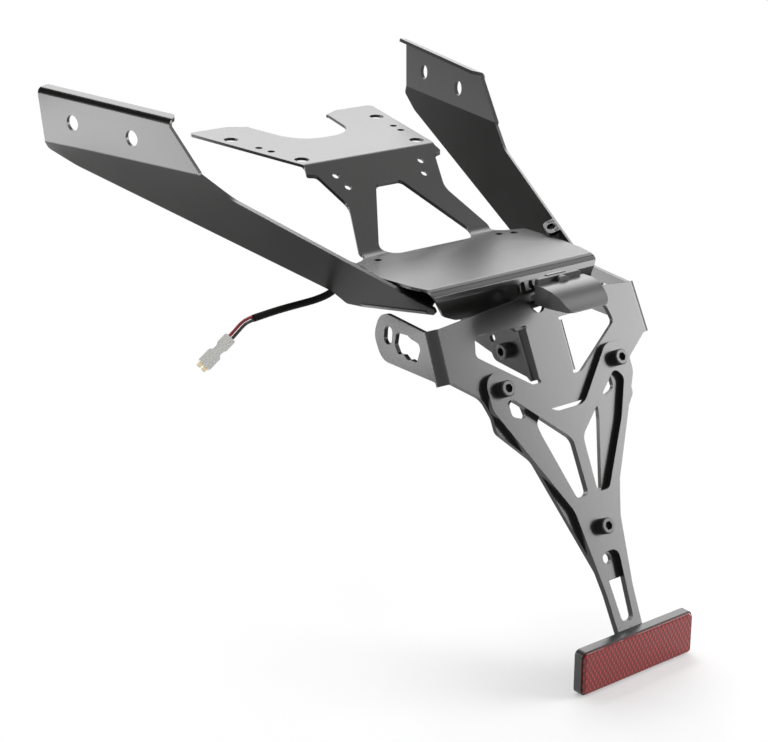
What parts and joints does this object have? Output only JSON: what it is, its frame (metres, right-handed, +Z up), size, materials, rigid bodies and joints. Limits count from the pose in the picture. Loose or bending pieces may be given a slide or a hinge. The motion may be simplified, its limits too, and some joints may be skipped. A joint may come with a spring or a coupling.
{
  "type": "motorbike tail tidy",
  "caption": "Folded sheet bracket set that hangs a number plate, its lamp, a reflector and two indicators behind a motorbike's tail.",
  "frame": {"origin": "middle of the seat face: the top of the front plate, on the centre line between its four large holes", "axes": "+X to the right seen from behind, +Y forward along the motorbike, +Z up; the platform is level"},
  "size_m": [0.3392, 0.4299, 0.318],
  "materials": {
    "bracket_black": "satin black coating on folded sheet, faintly grained",
    "screw_black": "blackened socket head screws",
    "nut_steel": "zinc plated nuts",
    "stud_steel": "plain weld studs",
    "housing_plastic": "moulded dark plastic",
    "lens_red": "red prismatic reflector, clear gloss in front",
    "lamp_plastic": "satin dark grey moulded hood",
    "cover_plastic": "black moulded cover",
    "lamp_clear": "clear moulded lens",
    "sleeve_black": "black flexible sleeve",
    "clip_plastic": "black moulded clip",
    "wire_red": "red insulated wire",
    "wire_black": "black insulated wire",
    "connector_white": "milky white moulded shell",
    "terminal_brass": "plain brass tabs"
  },
  "bodies": {
    "root": {"seat_bracket": "bracket_black", "right_arm": "bracket_black", "left_arm": "bracket_black", "indicator_bracket": "bracket_black", "plate_carrier": "bracket_black", "hanger_bracket": "bracket_black", "carrier_screw_left": "screw_black", "carrier_nut_left": "nut_steel", "carrier_screw_right": "screw_black", "carrier_nut_right": "nut_steel", "carrier_screw_bottom": "screw_black", "carrier_nut_bottom": "nut_steel", "pivot_screw_right": "screw_black", "pivot_nut_right": "nut_steel", "pivot_screw_left": "screw_black", "pivot_nut_left": "nut_steel", "stud_hanger_rear": "stud_steel", "nut_hanger_rear": "nut_steel", "stud_hanger_front": "stud_steel", "nut_hanger_front": "nut_steel", "stud_foot_right_rear": "stud_steel", "nut_foot_right_rear": "nut_steel", "stud_foot_right_front": "stud_steel", "nut_foot_right_front": "nut_steel", "stud_foot_left_rear": "stud_steel", "nut_foot_left_rear": "nut_steel", "stud_foot_left_front": "stud_steel", "nut_foot_left_front": "nut_steel", "reflector_housing": "housing_plastic", "reflector_lens": "lens_red", "reflector_nut": "nut_steel", "lamp_hood": "lamp_plastic", "lamp_lens": "lamp_clear", "lamp_bracket": "bracket_black", "lamp_cover": "cover_plastic", "lamp_bracket_screw": "screw_black", "lamp_bracket_nut": "nut_steel", "lamp_screw": "screw_black", "lamp_cable": "sleeve_black", "cable_clip": "clip_plastic", "cable_sleeve": "sleeve_black", "red_wire": "wire_red", "black_wire": "wire_black", "connector_body": "connector_white", "connector_terminals": "terminal_brass"}
  },
  "joints": []
}
